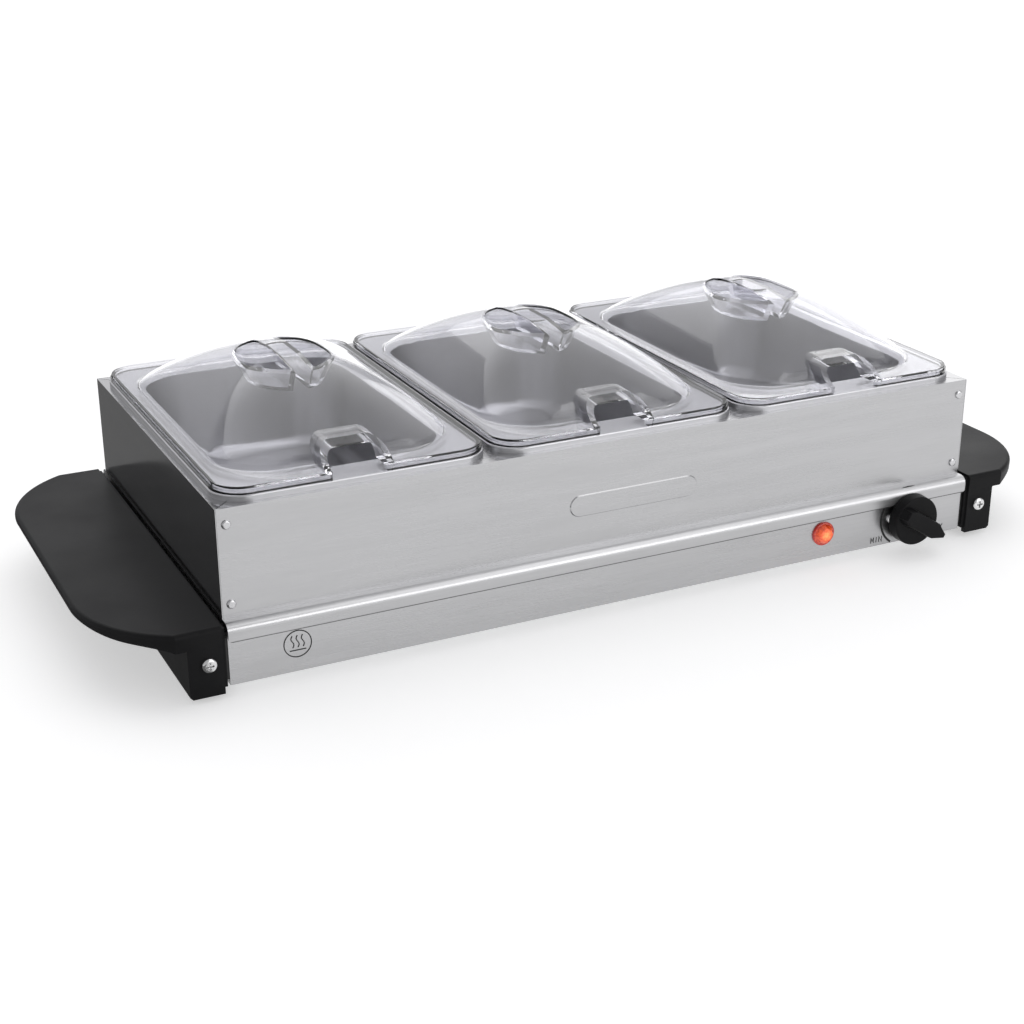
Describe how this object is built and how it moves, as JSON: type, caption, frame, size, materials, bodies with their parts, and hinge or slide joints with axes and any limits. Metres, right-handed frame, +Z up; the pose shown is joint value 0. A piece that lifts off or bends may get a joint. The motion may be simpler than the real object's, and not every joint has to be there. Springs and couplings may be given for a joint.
{
  "type": "electric buffet server",
  "caption": "Electric buffet server: lidded steel pans in a lift-off frame over a heated tray, with a control knob, pilot lamp and carrying handles.",
  "frame": {"origin": "on the table under the centre of the appliance, level with the undersides of the feet", "axes": "+X along the length towards the knob end, +Y towards the rear, +Z up; the control panel faces -Y"},
  "size_m": [0.5908, 0.28, 0.1391],
  "materials": {
    "lid_plastic": "clear polished",
    "pan_steel": "satin pressed",
    "frame_steel": "horizontal brushed",
    "rivet_steel": "bright",
    "tray_steel": "horizontal brushed",
    "housing_steel": "horizontal brushed",
    "cover_steel": "zinc grey",
    "screw_zinc": "bright zinc",
    "handle_plastic": "fine matte",
    "bracket_black": "black",
    "foot_rubber": "matte",
    "element_sheath": "heat darkened",
    "clamp_steel": "plain",
    "reflector_foil": "bright",
    "fuse_ceramic": "plain",
    "thermostat_ceramic": "plain",
    "shaft_brass": "turned",
    "knob_plastic": "fine matte",
    "lamp_red": "faceted, lit",
    "lamp_white": "plain",
    "spring_steel": "plain",
    "terminal_plastic": "plain",
    "gland_plastic": "plain",
    "lead_live_sleeve": "silicone",
    "lead_neutral_sleeve": "silicone",
    "lead_earth_sleeve": "silicone"
  },
  "bodies": {
    "base": {"warming_tray_top": "tray_steel", "base_housing": "housing_steel", "bottom_cover": "cover_steel", "cover_screws": "screw_zinc", "handle_screws": "screw_zinc", "earth_screw": "screw_zinc", "thermostat_screws": "screw_zinc", "handle_left": "handle_plastic", "handle_right": "handle_plastic", "handle_brackets": "bracket_black", "rubber_feet": "foot_rubber", "heating_element": "element_sheath", "element_clamps": "clamp_steel", "reflector": "reflector_foil", "thermal_fuse": "fuse_ceramic", "thermostat_body": "thermostat_ceramic", "pilot_lamp_lens": "lamp_red", "pilot_lamp_body": "lamp_white", "pilot_lamp_clip": "spring_steel", "terminal_block": "terminal_plastic", "cord_gland": "gland_plastic", "gland_nut": "gland_plastic", "lead_live": "lead_live_sleeve", "lead_heater": "lead_live_sleeve", "lead_fuse": "lead_neutral_sleeve", "lead_neutral": "lead_neutral_sleeve", "lead_earth": "lead_earth_sleeve", "lead_lamp_live": "lead_live_sleeve", "lead_lamp_neutral": "lead_neutral_sleeve"},
    "knob": {"control_knob": "knob_plastic", "thermostat_shaft": "shaft_brass"},
    "pan_frame": {"frame_front_panel": "frame_steel", "frame_rear_panel": "frame_steel", "frame_left_panel": "frame_steel", "frame_right_panel": "frame_steel", "frame_crossbar_left": "frame_steel", "frame_crossbar_right": "frame_steel", "frame_rivets": "rivet_steel"},
    "pan_left": {"pan_left": "pan_steel"},
    "lid_left": {"lid_left": "lid_plastic"},
    "pan_middle": {"pan_middle": "pan_steel"},
    "lid_middle": {"lid_middle": "lid_plastic"},
    "pan_right": {"pan_right": "pan_steel"},
    "lid_right": {"lid_right": "lid_plastic"}
  },
  "joints": [
    {"name": "knob_turn", "type": "hinge", "parent": "base", "child": "knob", "pos_m": [0.19, -0.13, 0.0215], "axis": [0, -1, 0], "range_deg": [0, 265]},
    {"name": "frame_lift", "type": "slide", "parent": "base", "child": "pan_frame", "axis": [0, 0, 1], "range_m": [0, 0.08]},
    {"name": "pan_left_lift", "type": "slide", "parent": "pan_frame", "child": "pan_left", "axis": [0, 0, 1], "range_m": [0, 0.1]},
    {"name": "pan_middle_lift", "type": "slide", "parent": "pan_frame", "child": "pan_middle", "axis": [0, 0, 1], "range_m": [0, 0.1]},
    {"name": "pan_right_lift", "type": "slide", "parent": "pan_frame", "child": "pan_right", "axis": [0, 0, 1], "range_m": [0, 0.1]},
    {"name": "lid_left_lift", "type": "slide", "parent": "pan_left", "child": "lid_left", "axis": [0, 0, 1], "range_m": [0, 0.08]},
    {"name": "lid_middle_lift", "type": "slide", "parent": "pan_middle", "child": "lid_middle", "axis": [0, 0, 1], "range_m": [0, 0.08]},
    {"name": "lid_right_lift", "type": "slide", "parent": "pan_right", "child": "lid_right", "axis": [0, 0, 1], "range_m": [0, 0.08]}
  ]
}
